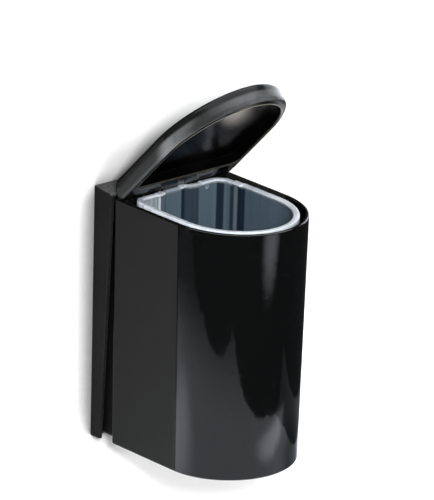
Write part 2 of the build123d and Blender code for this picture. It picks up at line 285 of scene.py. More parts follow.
def gloss_black(name, colour, roughness, side_colour, side_roughness, satin_from=-1.0):
    """Polished black ABS. Its flat sides, which face along X, are satin behind Y = satin_from.

    A thin line without gloss, painted shade in the reflection, runs along the edge between the two.
    """
    made, tree, shader = new_material(name, colour, roughness, IOR=1.45)
    marks = node(tree, "ShaderNodeGroup", node_tree=hairlines)
    edge_wear_light = node(tree, "ShaderNodeGroup", node_tree=edge_wear_and_highlight)
    edge_wear_light.inputs["Width"].default_value = 0.5 * MM
    facing = node(tree, "ShaderNodeSeparateXYZ")
    normal = node(tree, "ShaderNodeNewGeometry").outputs["Normal"]
    tree.links.new(normal, facing.inputs["Vector"])
    place = node(tree, "ShaderNodeSeparateXYZ")
    tree.links.new(node(tree, "ShaderNodeTexCoord").outputs["Object"], place.inputs["Vector"])
    flat = ramp(tree, maths(tree, "ABSOLUTE", facing.outputs["X"]), *FLAT_SIDE)
    behind = ramp(tree, place.outputs["Y"], satin_from, satin_from + SATIN_BLEND)
    line_ends = [satin_from - distance for distance in PAINTED_DARK_LINE]
    behind_line = ramp(tree, place.outputs["Y"], *line_ends)
    satin = maths(tree, "MULTIPLY", flat, behind)
    line = maths(tree, "SUBTRACT", maths(tree, "MULTIPLY", flat, behind_line), satin, clamp=True)
    base = mix_colours(tree, satin, colour, side_colour)
    dusty = mix_colours(tree, marks.outputs["Dust"], base, SPECK_COLOUR)
    # Paler corners: part wear, part painted highlight.
    edge_worn_lit = maths(tree, "MULTIPLY", edge_wear_light.outputs["Mask"], 0.8)
    tree.links.new(mix_colours(tree, edge_worn_lit, dusty, WORN_LIT_EDGE_COLOUR), shader.inputs["Base Color"])
    sheen = mix_values(tree, satin, roughness, side_roughness)
    smeared = maths(tree, "ADD", sheen, maths(tree, "MULTIPLY", marks.outputs["Smear"], 0.035))
    tree.links.new(smeared, shader.inputs["Roughness"])
    # Painted shade: the thin line between the polished front and the satin side loses its gloss.
    plain_gloss = mix_values(tree, satin, POLISHED_SPECULAR, SATIN_SPECULAR)
    gloss = mix_values(tree, line, plain_gloss, SATIN_SPECULAR)
    tree.links.new(gloss, shader.inputs["Specular IOR Level"])
    bump(tree, shader, marks.outputs["Height"], SCRATCH_DEPTH)
    return made


body_black = gloss_black("body_black", BODY_POLISHED, 0.05, BODY_SATIN, 0.5, satin_end)
paint("body_shell", body_black)

# ---------------------------------------------------------------- rear panel, screws and pads
# The rear panel is a shallow black tray that stands between the bracket's cheeks. Four plated
# screws hold it to the body, and two rubber pads keep its foot off the bracket.
PANEL_COLOUR = (0.0035, 0.0035, 0.0034)
PANEL_WORN_LIT_EDGES = (0.02, 0.02, 0.02)
PAD_COLOUR = (0.022, 0.022, 0.022)
ZINC_COLOUR = (0.62, 0.61, 0.58)
PLATING_CELLS = (2500.0, 2500.0, 2500.0)
panel_black = satin_plastic(
    "panel_black", PANEL_COLOUR, PANEL_WORN_LIT_EDGES,
    roughness=0.5, specular=0.15, grain_cells=1900.0, grain_depth=0.03 * MM,
)
paint("rear_panel", panel_black)


def steel(name, colour, roughness, cells):
    """Plated or drawn steel with duller patches. cells is how many marks there are to the metre."""
    made, tree, shader = new_material(name, colour, roughness, Metallic=1.0)
    place = node(tree, "ShaderNodeTexCoord").outputs["Object"]
    squeezed = node(tree, "ShaderNodeMapping", {"Scale": cells})
    tree.links.new(place, squeezed.inputs["Vector"])
    drawn = noise(tree, squeezed.outputs["Vector"], 1.0, 3.0)
    dull = ramp(tree, noise(tree, place, 700.0, 4.0), 0.4, 0.7)
    dulled = mix_colours(tree, dull, colour, [c * 0.72 for c in colour])
    tree.links.new(dulled, shader.inputs["Base Color"])
    tree.links.new(mix_values(tree, dull, roughness, roughness + 0.18), shader.inputs["Roughness"])
    bump(tree, shader, drawn, 0.01 * MM)
    return made


screw_zinc = steel("screw_zinc", ZINC_COLOUR, 0.28, PLATING_CELLS)
paint("rear_panel_screws", screw_zinc)


def rubber(name, colour, roughness):
    """Matt moulded rubber with a fine pitted skin and pale bloom."""
    made, tree, shader = new_material(name, colour, roughness)
    place = node(tree, "ShaderNodeTexCoord").outputs["Object"]
    bloom = ramp(tree, noise(tree, place, 160.0, 4.0), 0.45, 0.75)
    bloomed = mix_colours(tree, bloom, colour, [c * 1.5 for c in colour])
    tree.links.new(bloomed, shader.inputs["Base Color"])
    tree.links.new(mix_values(tree, bloom, roughness, roughness - 0.1), shader.inputs["Roughness"])
    bump(tree, shader, noise(tree, place, 2400.0, 2.0), 0.03 * MM)
    return made


pad_black = rubber("pad_black", PAD_COLOUR, 0.85)
paint("rubber_pad_left", pad_black)
paint("rubber_pad_right", pad_black)

# ---------------------------------------------------------------- lid, its pin and its plug
# The lid is a gloss black cap in the body's plan, with a rounded top edge. It turns on a drawn
# steel pin through its rear barrel, and a moulded plug closes the end of the bore.
LID_COLOUR = (0.006, 0.006, 0.006)
LID_SIDE_COLOUR = (0.010, 0.010, 0.010)
SMEAR_AND_SHEEN_COLOUR = (0.115, 0.12, 0.122)
LID_SIDE_SPECULAR = 0.14
LID_OPEN = math.radians(45.0)
HINGE_PLACE = (0.0, -27.5 * MM, 100.0 * MM)
SMEAR_LEVELS = (4.4 * MM, 2.0 * MM)
THUMB_Y = -82.0 * MM
THUMB_REACH = (17.0 * MM, 4.0 * MM)
FRONT_SMEAR = 0.6
FRONT_SMEAR_X = (-36.0 * MM, -8.0 * MM)
FRONT_SMEAR_Y = (-96.0 * MM, -102.0 * MM)
LEAST_SMEAR = 0.13
WIRE_COLOUR = (0.66, 0.66, 0.67)
WIRE_CELLS = (40.0, 3000.0, 3000.0)


def smeared_and_sheened_lip(material):
    """Dulls the lid's side, and pales its lower half with thumb smears and a painted sheen.

    Levels are measured along the lid's own upright from the hinge, with the lid open.
    """
    tree = material.node_tree
    shader = tree.nodes["Principled BSDF"]
    under = shader.inputs["Base Color"].links[0].from_socket
    lid_up = (0.0, math.sin(LID_OPEN), math.cos(LID_OPEN))
    where = node(tree, "ShaderNodeTexCoord")
    facing = node(tree, "ShaderNodeVectorMath", {1: lid_up}, operation="DOT_PRODUCT")
    tree.links.new(where.outputs["Normal"], facing.inputs[0])
    from_hinge = node(tree, "ShaderNodeVectorMath", {1: HINGE_PLACE}, operation="SUBTRACT")
    tree.links.new(where.outputs["Object"], from_hinge.inputs[0])
    level = node(tree, "ShaderNodeVectorMath", {1: lid_up}, operation="DOT_PRODUCT")
    tree.links.new(from_hinge.outputs["Vector"], level.inputs[0])
    reach = node(tree, "ShaderNodeSeparateXYZ")
    tree.links.new(where.outputs["Object"], reach.inputs["Vector"])
    x, y = reach.outputs["X"], reach.outputs["Y"]
    low_down = ramp(tree, level.outputs["Value"], *SMEAR_LEVELS)
    not_under = ramp(tree, facing.outputs["Value"], -0.97, -0.8)
    from_thumb = maths(tree, "ABSOLUTE", maths(tree, "SUBTRACT", y, THUMB_Y))
    at_side = ramp(tree, from_thumb, *THUMB_REACH)
    at_front = maths(tree, "MULTIPLY", ramp(tree, x, *FRONT_SMEAR_X), FRONT_SMEAR)
    at_front = maths(tree, "MULTIPLY", at_front, ramp(tree, y, *FRONT_SMEAR_Y))
    cloud = ramp(tree, noise(tree, where.outputs["Object"], 60.0, 3.0, 0.6), 0.35, 0.60)
    handled = maths(tree, "MAXIMUM", at_side, at_front)
    patch = maths(tree, "MULTIPLY", handled, mix_values(tree, cloud, 0.55, 1.0))
    on_lip = maths(tree, "MULTIPLY", low_down, not_under)
    share = maths(tree, "MULTIPLY", on_lip, mix_values(tree, patch, LEAST_SMEAR, 1.0))
    # Part real smears, part painted sheen on the lid's side band.
    tree.links.new(mix_colours(tree, share, under, SMEAR_AND_SHEEN_COLOUR), shader.inputs["Base Color"])
    on_side = ramp(tree, maths(tree, "ABSOLUTE", facing.outputs["Value"]), 0.9, 0.4)
    gloss = mix_values(tree, on_side, POLISHED_SPECULAR, LID_SIDE_SPECULAR)
    tree.links.new(gloss, shader.inputs["Specular IOR Level"])


lid_black = gloss_black("lid_black", LID_COLOUR, 0.22, LID_SIDE_COLOUR, 0.3)
smeared_and_sheened_lip(lid_black)
paint("lid_shell", lid_black)
paint("hinge_plug", lid_black)
pin_steel = steel("pin_steel", WIRE_COLOUR, 0.22, WIRE_CELLS)
paint("hinge_pin", pin_steel)

# ---------------------------------------------------------------- lid inner panel and seal
# A shallow dished tray of polished black ABS is welded under the lid. A thin grey silicone lip runs
# round the dish and closes on the bin's rim; its front part carries a painted highlight.
INNER_COLOUR = (0.0009, 0.0009, 0.001)
INNER_WORN_LIT_EDGES = (0.01, 0.01, 0.01)
SEAL_COLOUR = (0.03, 0.028, 0.024)
SEAL_PAINTED_LIGHT = (0.14, 0.13, 0.11)
SEAL_LIGHT_ENDS = (-78.0 * MM, -98.0 * MM)
inner_black = satin_plastic(
    "inner_black", INNER_COLOUR, INNER_WORN_LIT_EDGES,
    roughness=0.17, specular=0.12, grain_cells=1500.0, grain_depth=0.004 * MM,
)
paint("lid_inner_panel", inner_black)


def lit_seal_end(material):
    """Paints a highlight on the seal toward the lid's front, where light falls on it; the rest of
    it is dark.
    """
    tree = material.node_tree
    shader = tree.nodes["Principled BSDF"]
    under = shader.inputs["Base Color"].links[0].from_socket
    place = node(tree, "ShaderNodeSeparateXYZ")
    tree.links.new(node(tree, "ShaderNodeTexCoord").outputs["Object"], place.inputs["Vector"])
    lit_end = ramp(tree, place.outputs["Y"], *SEAL_LIGHT_ENDS)
    tree.links.new(mix_colours(tree, lit_end, under, SEAL_PAINTED_LIGHT), shader.inputs["Base Color"])
    tree.links.new(mix_values(tree, lit_end, 0.1, 0.5), shader.inputs["Specular IOR Level"])


seal_grey = rubber("seal_grey", SEAL_COLOUR, 0.4)
lit_seal_end(seal_grey)
paint("lid_seal", seal_grey)

# ---------------------------------------------------------------- liner bucket
# The liner is a thin bucket of frosted white polypropylene that lifts out for emptying. Its back
# corners step in, its back wall is fluted, and its rim turns over into a thick bright lip.
liner_lo, liner_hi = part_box("liner_bucket")
LIP = 1.9 * MM
LIP_DEPTH = 5.0 * MM
LIP_WALL = 1.1 * MM
BEAD = 1.4 * MM
WALL = 1.6 * MM
CORNER = 9.0 * MM
SIDE_DRAFT = 1.6 * MM
FRONT_DRAFT = 9.0 * MM
STRAIGHT_SIDE = 60.0 * MM
RIM_RAISED = 1.0 * MM
STEP = 1.3 * MM
STEP_EDGE = 1.3 * MM
STEPS_AT = (13.0 * MM, 23.0 * MM)
STEPS_START, STEPS_FULL = 13.0 * MM, 1.0 * MM
BULGE = 2.2 * MM
BULGE_ENDS = (10.0 * MM, 13.0 * MM)
ON_BACK = 0.1 * MM
PLAIN_RIM_FROM = 32.0 * MM
POCKET_DEPTH = 1.1 * MM
FLUTE_DEPTH = 0.9 * MM
RIB_PITCH = 4.4 * MM
RIB_HEIGHT = 0.3 * MM
U_RIB_HEIGHT = 0.45 * MM
U_RIB_DROP = 5.6 * MM
TAB_RISE = 0.3 * MM
THIN_DROP = 0.5 * MM
SIDE_TAB_RISE = 0.25 * MM
CORNER_PAINTED_SHADE = 0.75
# Painted shade in the liner's right back corner.
CORNER_PAINTED_SHADE_ENDS = (3.5 * MM, 6.0 * MM)
# From here each pair is where a feature starts and ends, in millimetres from the middle of the
# back wall. Those of a side are measured forward from the back wall, and a drop down from the rim.
POCKET = (-42.0, -17.6)
POCKET_SEEN = (-40.0, -16.8)
POCKET_EDGE_HIGHLIGHT = (-20.0, -17.2)
FLUTE = (5.0, 16.0)
FINE_RIBS = (-38.0, -21.0)
U_RIB_LEGS = ((25.6, 26.2), (27.6, 28.2))
U_RIB_FOOT = (26.0, 27.8)
U_RIB_FOOT_DROP = (5.0, 6.2)
TABS = ((-21.5, -14.5), (3.2, 8.2), (20.8, 23.8))
THIN_RIMS = ((-14.5, 3.2), (8.2, 20.8))
SLIM_RIM = (-40.0, -21.5)
SIDE_TAB = (14.0, 24.0)
SLIM_SIDE = (3.0, 14.0)
# Each entry is painted light or shade on the inner wall: what it adds, where it starts and ends,
# and how soft its ends are.
BACK_LIGHT_AND_SHADE = (
    (0.12, -12.0, 5.0, 3.0), (-0.55, 5.2, 19.4, 0.7), (-0.25, 5.0, 8.0, 1.0),
    (-0.7, 36.0, 60.0, 1.0),
)
SIDE_LIGHT_AND_SHADE = (
    (0.2, 6.0, 12.0, 1.5), (-0.7, 12.6, 15.0, 0.7), (0.45, 15.8, 19.0, 0.8),
    (-0.8, 19.6, 26.0, 1.0),
)
SHARP_EDGE = math.radians(50.0)
SIDE_POINTS, CORNER_POINTS, BACK_POINTS, FRONT_POINTS = 80, 10, 160, 96
LINER_COLOUR = (0.55, 0.6, 0.66)
WALL_CLEAR, WALL_CLOUDY = (0.062, 0.091, 0.117), (0.074, 0.105, 0.130)
RIM_CLEAR, RIM_CLOUDY = (0.49, 0.53, 0.59), (0.61, 0.65, 0.70)
FLUTE_PAINTED_SHADE = (0.005, 0.011, 0.021)
EDGE_PAINTED_HIGHLIGHT = (0.13, 0.155, 0.175)
rim_half = liner_hi.x - LIP
rim_back = liner_hi.y - LIP - BULGE
rim_front = rim_back - STRAIGHT_SIDE
rim_reach = rim_front - liner_lo.y - LIP
liner_floor = liner_lo.z
rim_level = liner_hi.z + RIM_RAISED
liner_height = rim_level - liner_floor


def smooth_step(value, low, high):
    """0 below low, 1 above high, smooth between."""
    share = min(1.0, max(0.0, (value - low) / (high - low)))
    return share * share * (3 - 2 * share)


def between(value, low, high, edge):
    """1 from low to high, 0 beyond, with soft ends. value is in metres, the rest in millimetres."""
    rising = smooth_step(value / MM, low - edge, low + edge)
    return rising - smooth_step(value / MM, high - edge, high + edge)


def liner_plan(height_share):
    """Points (x, y, normal x, normal y) round the outside, drawn in by the draft below the rim."""
    drop = 1.0 - height_share
    half = rim_half - SIDE_DRAFT * drop
    reach = rim_reach - FRONT_DRAFT * drop
    side_end = rim_back - CORNER
    points = []
    for i in range(SIDE_POINTS):
        y = rim_front + (side_end - rim_front) * i / SIDE_POINTS
        points.append((half, y, 1.0, 0.0))
    for i in range(CORNER_POINTS):
        turn = math.pi / 2 * i / CORNER_POINTS
        x = half - CORNER + CORNER * math.cos(turn)
        y = side_end + CORNER * math.sin(turn)
        points.append((x, y, math.cos(turn), math.sin(turn)))
    for i in range(BACK_POINTS + 1):
        x = (half - CORNER) * (1 - 2 * i / BACK_POINTS)
        points.append((x, rim_back, 0.0, 1.0))
    for i in range(1, CORNER_POINTS + 1):
        turn = math.pi / 2 + math.pi / 2 * i / CORNER_POINTS
        x = CORNER - half + CORNER * math.cos(turn)
        y = side_end + CORNER * math.sin(turn)
        points.append((x, y, math.cos(turn), math.sin(turn)))
    for i in range(1, SIDE_POINTS + 1):
        y = side_end + (rim_front - side_end) * i / SIDE_POINTS
        points.append((-half, y, -1.0, 0.0))
    for i in range(1, FRONT_POINTS):
        turn = math.pi + math.pi * i / FRONT_POINTS
        x, y = half * math.cos(turn), rim_front + reach * math.sin(turn)
        nx, ny = math.cos(turn) / half, math.sin(turn) / reach
        size = math.hypot(nx, ny)
        points.append((x, y, nx / size, ny / size))
    return points


def behind_rim(y):
    """How far y lies in front of the liner's back wall."""
    return rim_back - y


def fluting(x, y):
    """How far the wall stands in from the plain plan at (x, y)."""
    deep = behind_rim(y)
    on_back = deep < ON_BACK
    inward = 0.0
    for step_at in STEPS_AT:
        inward += STEP if on_back else STEP * (1 - smooth_step(deep, step_at, step_at + STEP_EDGE))
    if deep < CORNER:
        inward *= smooth_step(abs(x), rim_half - STEPS_START, rim_half - STEPS_FULL)
    if on_back:
        inward -= BULGE * (1 - smooth_step(abs(x), *BULGE_ENDS))
        inward += POCKET_DEPTH * between(x, *POCKET, 0.4)
        inward -= FLUTE_DEPTH * between(x, *FLUTE, 0.8)
    return inward


def wall_ribs(x, y, drop):
    """Inside only: fine ribs in the left rear pocket, and a small U-shaped rib under the rim."""
    if behind_rim(y) > ON_BACK:
        return 0.0
    wave = 0.5 + 0.5 * math.cos(2 * math.pi * x / RIB_PITCH)
    fine = RIB_HEIGHT * wave * between(x, *FINE_RIBS, 1.0)
    legs = sum(between(x, *leg, 0.3) for leg in U_RIB_LEGS)
    foot = between(x, *U_RIB_FOOT, 0.3) * between(drop, *U_RIB_FOOT_DROP, 0.3)
    return fine + U_RIB_HEIGHT * min(1.0, max(legs * (drop < U_RIB_DROP), foot))


def rim_shape(x, y):
    """The rim's rise at (x, y), how white it is, and how far its bead rolls in (1 is plain)."""
    deep = behind_rim(y)
    rise, white, bead = 0.0, 1.0, 1.0
    if deep > PLAIN_RIM_FROM:
        return rise, white, bead
    if deep < ON_BACK:
        tab = sum(between(x, *ends, 0.3) for ends in TABS)
        thin = [between(x, *ends, 0.3) for ends in THIN_RIMS]
        rise += TAB_RISE * tab - THIN_DROP * sum(thin)
        white += 0.15 * tab - 0.6 * thin[0] - 0.45 * thin[1]
        bead += 0.9 * tab - 0.75 * sum(thin) - 0.45 * between(x, *SLIM_RIM, 0.5)
    elif x > 0:
        tab = between(deep, *SIDE_TAB, 0.5)
        rise += SIDE_TAB_RISE * tab
        white += 0.15 * tab
        bead += 0.7 * tab - 0.3 * between(deep, *SLIM_SIDE, 0.6)
    return rise, white, bead


def wall_shade(x, y):
    """Inside: painted light and shade, 1 where the wall looks plain, less as painted shade in the
    flutes and the corner, more as painted highlight on the edges.
    """
    deep = behind_rim(y)
    if deep < ON_BACK:
        return 1.0 + sum(adds * between(x, *ends) for adds, *ends in BACK_LIGHT_AND_SHADE)
    if x > 0:
        corner = CORNER_PAINTED_SHADE * (1 - smooth_step(deep, *CORNER_PAINTED_SHADE_ENDS))
        return 1.0 - corner + sum(adds * between(deep, *ends) for adds, *ends in SIDE_LIGHT_AND_SHADE)
    return 1.0


# Each row is (how far in from the outside, level, whether it is inside, how milky it looks).
# They run up the outside, out and over the lip, over the bead, and down the inside to the floor.
top = rim_level
bead_edge = WALL + BEAD
rows = []
for inset, rise in ((6.0, 0.0), (3.0, 0.0), (1.2, 0.5), (0.35, 1.6), (0.0, 3.2)):
    rows.append((inset * MM, liner_floor + rise * MM, 0, 0.2))
for i in range(1, 13):
    rows.append((0.0, liner_floor + 3.2 * MM + (liner_height - 9.5 * MM) * i / 12, 0, 0.2))
rows += [
    (0.0, top - LIP_WALL - 0.3 * MM, 0, 0.7),
    (-0.2 * MM, top - LIP_WALL, 0, 0.9),
    (LIP_WALL - LIP, top - LIP_WALL - 0.1 * MM, 0, 1.0),
    (LIP_WALL - LIP, top - LIP_DEPTH, 0, 1.0),
    (-LIP + 0.15 * MM, top - LIP_DEPTH, 0, 1.0),
    (-LIP, top - LIP_DEPTH + 0.2 * MM, 0, 1.0),
    (-LIP, top - 1.1 * MM, 0, 1.0),
    (-LIP + 0.25 * MM, top - 0.45 * MM, 0, 1.0),
    (-LIP + 0.8 * MM, top - 0.05 * MM, 0, 1.0),
    (-LIP + 1.5 * MM, top, 0, 1.0),
    (bead_edge - 1.4 * MM, top, 0, 1.0),
    (bead_edge - 0.6 * MM, top - 0.15 * MM, 0, 1.0),
    (bead_edge - 0.1 * MM, top - 0.6 * MM, 1, 1.0),
    (bead_edge, top - 1.2 * MM, 1, 0.95),
    (bead_edge - 0.3 * MM, top - 1.8 * MM, 1, 0.7),
    (WALL + 0.35 * MM, top - 2.3 * MM, 1, 0.45),
    (WALL, top - 2.9 * MM, 1, 0.2),
]
for i in range(14):
    rows.append((WALL, top - 3.6 * MM - 0.6 * MM * i, 1, 0.0))
for i in range(25):
    rows.append((WALL, top - 12.5 * MM - (liner_height - 17.5 * MM) * i / 24, 1, 0.0))
for inset, rise in ((0.25, 4.0), (0.9, 2.9), (2.0, 2.1), (3.0, 1.65), (3.6, 1.6)):
    rows.append((WALL + inset * MM, liner_floor + rise * MM, 1, 0.1))

verts, faces, milk, shade = [], [], [], []
for inset, level, inner, milky in rows:
    share = min(1.0, max(0.0, (level - liner_floor) / liner_height))
    drop = top - level
    for x, y, nx, ny in liner_plan(share):
        rib = wall_ribs(x, y, drop) if inner and drop > 2 * MM else 0.0
        rise, white, bead = rim_shape(x, y)
        rolled = (bead - 1.0) * max(0.0, inset - WALL) if level > top - 2.5 * MM else 0.0
        depth = inset + fluting(x, y) + rib + rolled
        lift = rise * smooth_step(level, top - 9 * MM, top - 3 * MM)
        verts.append((x - nx * depth, y - ny * depth, level + lift))
        pocket = between(x, *POCKET_SEEN, 0.3) if inner and behind_rim(y) < ON_BACK else 0.0
        # The pocket's edge gets a painted highlight.
        edge = between(x, *POCKET_EDGE_HIGHLIGHT, 0.5) if pocket else 0.0
        pocket_milk = pocket * (0.24 + 0.5 * rib / MM) + 0.6 * edge
        rib_milk = 0.9 * rib / MM if x > 0 else 0.0
        milk.append(max(milky * white, pocket_milk, rib_milk))
        shade.append(wall_shade(x, y) if inner else 1.0)
count = len(verts) // len(rows)
for row in range(len(rows) - 1):
    for i in range(count):
        j = (i + 1) % count
        a, b = row * count, (row + 1) * count
        faces.append((a + i, a + j, b + j, b + i))
faces.append(tuple(reversed(range(count))))
faces.append(tuple(range((len(rows) - 1) * count, len(rows) * count)))
liner_mesh = bpy.data.meshes.new("liner_frosted")
liner_mesh.from_pydata(verts, [], faces)
for label, values in (("milky", milk), ("shade", shade)):
    attribute = liner_mesh.attributes.new(label, "FLOAT", "POINT")
    attribute.data.foreach_set("value", values)
liner_mesh.validate()
liner_mesh.shade_smooth()
liner_mesh.set_sharp_from_angle(angle=SHARP_EDGE)
liner = bpy.data.objects.new("liner_frosted", liner_mesh)
bpy.context.scene.collection.objects.link(liner)


def frosted_white():
    """Thin frosted plastic: blue-grey where the body shows through it, white where it is thick,
    with painted shade in its flutes and painted highlights on their edges.
    """
    made, tree, shader = new_material("liner_white", LINER_COLOUR, 0.3)
    stored = [
        node(tree, "ShaderNodeAttribute", attribute_name=label, attribute_type="GEOMETRY")
        for label in ("milky", "shade")
    ]
    thick, painted_light_and_shade = (attribute.outputs["Fac"] for attribute in stored)
    place = node(tree, "ShaderNodeTexCoord").outputs["Object"]
    flow = node(tree, "ShaderNodeMapping", {"Scale": (1.0, 1.0, 0.12)})
    tree.links.new(place, flow.inputs["Vector"])
    cloud = ramp(tree, noise(tree, flow.outputs["Vector"], 60.0, 4.0), 0.3, 0.7)
    wall = mix_colours(tree, cloud, WALL_CLEAR, WALL_CLOUDY)
    shaded = mix_colours(tree, ramp(tree, painted_light_and_shade, 0.1, 1.1), FLUTE_PAINTED_SHADE, wall)
    lit = mix_colours(tree, ramp(tree, painted_light_and_shade, 1.05, 1.5), shaded, EDGE_PAINTED_HIGHLIGHT)
    rim = mix_colours(tree, cloud, RIM_CLEAR, RIM_CLOUDY)
    tree.links.new(mix_colours(tree, thick, lit, rim), shader.inputs["Base Color"])
    tree.links.new(mix_values(tree, cloud, 0.26, 0.36), shader.inputs["Roughness"])
    bump(tree, shader, noise(tree, place, 1500.0, 2.0), 0.012 * MM)
    return made


liner_white = frosted_white()
liner_mesh.materials.append(liner_white)
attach(liner, "bin")
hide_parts("liner_bucket")

# ---------------------------------------------------------------- wall and floor
# A plain white wall with an opening behind the bracket, and a plain pale floor well below. Both
# show only from the room's side, so that the back of the bin can be seen too, and both carry a
# painted shadow close to the bin.
bracket_lo, bracket_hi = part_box("wall_bracket")
ROOM_WHITE = (0.93, 0.93, 0.93)
ROOM_HALF_WIDTH = 2.2
ROOM_DEPTH = 2.6
ROOM_TOP = 2.4
FLOOR_LEVEL = -0.5
FLOOR_GAP = 0.05
FLOOR_GLOW = 0.3
WALL_BELOW_FLOOR = 0.1
WALL_GAP = 0.4 * MM
OPENING_INSET = 1.5 * MM
CONTACT_REACH = 36.0 * MM
DEEP_SHADE = 0.16
DEEP_SHADE_ABOVE = 0.62
SHADE_LIGHTENS = (85.0 * MM, 112.0 * MM)


def one_sided_shadowed_white(name, colour, glow=0.0):
    """Matt white with a painted shadow close to the bin, lighter above it, and clear from behind.
    """
    made, tree, shader = new_material(name, colour, 0.9, Specular_IOR_Level=0.0)
    shader.inputs["Emission Color"].default_value = (1.0, 1.0, 1.0, 1.0)
    shader.inputs["Emission Strength"].default_value = glow
    corner = node(tree, "ShaderNodeAmbientOcclusion", {"Distance": CONTACT_REACH}, samples=12)
    place = node(tree, "ShaderNodeSeparateXYZ")
    tree.links.new(node(tree, "ShaderNodeTexCoord").outputs["Object"], place.inputs["Vector"])
    above_bin = ramp(tree, place.outputs["Z"], *SHADE_LIGHTENS)
    deep, deep_above = ([c * share for c in colour] for share in (DEEP_SHADE, DEEP_SHADE_ABOVE))
    deepest = mix_colours(tree, above_bin, deep, deep_above)
    shaded = mix_colours(tree, ramp(tree, corner.outputs["AO"], 0.45, 0.97), deepest, colour)
    tree.links.new(shaded, shader.inputs["Base Color"])
    behind = node(tree, "ShaderNodeNewGeometry").outputs["Backfacing"]
    clear = node(tree, "ShaderNodeBsdfTransparent")
    choice = node(tree, "ShaderNodeMixShader")
    tree.links.new(behind, choice.inputs["Fac"])
    tree.links.new(shader.outputs["BSDF"], choice.inputs[1])
    tree.links.new(clear.outputs["BSDF"], choice.inputs[2])
    tree.links.new(choice.outputs["Shader"], tree.nodes["Material Output"].inputs["Surface"])
    return made


def flat_piece(name, corners, polygons, material):
    """A flat stage piece, which isn't part of the object."""
    mesh = bpy.data.meshes.new(name)
    mesh.from_pydata(corners, [], polygons)
    mesh.materials.append(material)
    made = bpy.data.objects.new(name, mesh)
    bpy.context.scene.collection.objects.link(made)
    return made


wall_y = bracket_hi.y + WALL_GAP
wall_foot = FLOOR_LEVEL - WALL_BELOW_FLOOR
outer = [
    (-ROOM_HALF_WIDTH, wall_foot), (ROOM_HALF_WIDTH, wall_foot),
    (ROOM_HALF_WIDTH, ROOM_TOP), (-ROOM_HALF_WIDTH, ROOM_TOP),
]
left, right = bracket_lo.x + OPENING_INSET, bracket_hi.x - OPENING_INSET
low, high = bracket_lo.z + OPENING_INSET, bracket_hi.z - 3 * OPENING_INSET
opening = [(left, low), (right, low), (right, high), (left, high)]
wall_corners = [(x, wall_y, z) for x, z in outer + opening]
wall_faces = [(i, (i + 1) % 4, (i + 1) % 4 + 4, i + 4) for i in range(4)]
wall = flat_piece("wall", wall_corners, wall_faces, one_sided_shadowed_white("room_white", ROOM_WHITE))
floor_corners = [
    (-ROOM_HALF_WIDTH, -ROOM_DEPTH, FLOOR_LEVEL), (ROOM_HALF_WIDTH, -ROOM_DEPTH, FLOOR_LEVEL),
    (ROOM_HALF_WIDTH, wall_y - FLOOR_GAP, FLOOR_LEVEL),
    (-ROOM_HALF_WIDTH, wall_y - FLOOR_GAP, FLOOR_LEVEL),
]
floor_white = one_sided_shadowed_white("floor_white", ROOM_WHITE, FLOOR_GLOW)
floor = flat_piece("floor", floor_corners, [(0, 1, 2, 3)], floor_white)
wall.visible_glossy = False
floor.visible_glossy = False

# ---------------------------------------------------------------- what the gloss reflects
# A dark studio all round, a pale table top below the bin with brighter and darker patches over it,
# and a card above and another to the right. All of them show only in reflections.
TINT = (0.95, 0.985, 1.06, 1.0)
WARM_TINT = (1.0, 0.96, 0.92, 1.0)
STUDIO_RADIUS = 6.0
STUDIO_GLOW = 0.03
TABLE_LEVEL = -0.15
TABLE_GLOW = 1.15
TABLE_FADES = (0.36, 0.60)
TABLE_FAR_SHARE = 0.12
TABLE_OUTLINE = (
    (-0.56, 0.02), (-0.508, -0.11), (-0.447, -0.18), (-0.37, -0.275), (-0.34, -0.325),
    (-0.313, -0.387), (-0.318, -0.425), (-0.23, -0.413), (-0.166, -0.40), (-0.085, -0.383),
    (0.0, -0.362), (0.08, -0.348), (0.158, -0.312), (0.195, -0.23), (0.19, 0.35),
    (-0.49, 0.355), (-0.66, 0.30), (-0.64, 0.12),
)
SIDE_TABLE_GLOW = 0.16
SIDE_TABLE_OUTLINE = ((0.17, -0.30), (0.286, -0.363), (0.286, 0.35), (0.19, 0.35), (0.195, -0.23))
OVERHEAD_LEVEL = 1.6
OVERHEAD_GLOW = 4.0
OVERHEAD_OUTLINE = ((-1.6, -1.5), (1.6, -1.5), (1.6, 1.0), (-1.6, 1.0))
RIGHT_CARD_X = 0.55
RIGHT_CARD_GLOW = 3.0
RIGHT_CARD_OUTLINE = ((-0.15, 0.02), (0.40, 0.02), (0.40, 0.45), (-0.15, 0.45))


def reflected_only(piece):
    """Hides a stage piece from everything but reflections."""
    piece.visible_camera = False
    piece.visible_diffuse = False
    piece.visible_transmission = False
    piece.visible_volume_scatter = False
    piece.visible_shadow = False


def bare_material(name):
    """A material with nothing in it but its output."""
    made = bpy.data.materials.new(name)
    made.use_nodes = True
    tree = made.node_tree
    tree.nodes.remove(tree.nodes["Principled BSDF"])
    return made, tree


def from_middle(tree):
    """How far a point is from the middle of its own piece."""
    away = node(tree, "ShaderNodeVectorMath", operation="LENGTH")
    tree.links.new(node(tree, "ShaderNodeTexCoord").outputs["Object"], away.inputs[0])
    return away.outputs["Value"]


def glow(name, strength, near=0.0, far=0.0, least=1.0):
    """An emitting surface. It can fade with distance, from all of its strength to that share."""
    made, tree = bare_material(name)
    lit = node(tree, "ShaderNodeEmission", {"Color": TINT, "Strength": strength})
    if far:
        fade = ramp(tree, from_middle(tree), far, near)
        faded = mix_values(tree, fade, strength * least, strength)
        tree.links.new(faded, lit.inputs["Strength"])
    tree.links.new(lit.outputs["Emission"], tree.nodes["Material Output"].inputs["Surface"])
    return made


def card(name, corners, material):
    """A flat piece with one face, which shows only in reflections."""
    made = flat_piece(name, corners, [tuple(range(len(corners)))], material)
    reflected_only(made)
    return made


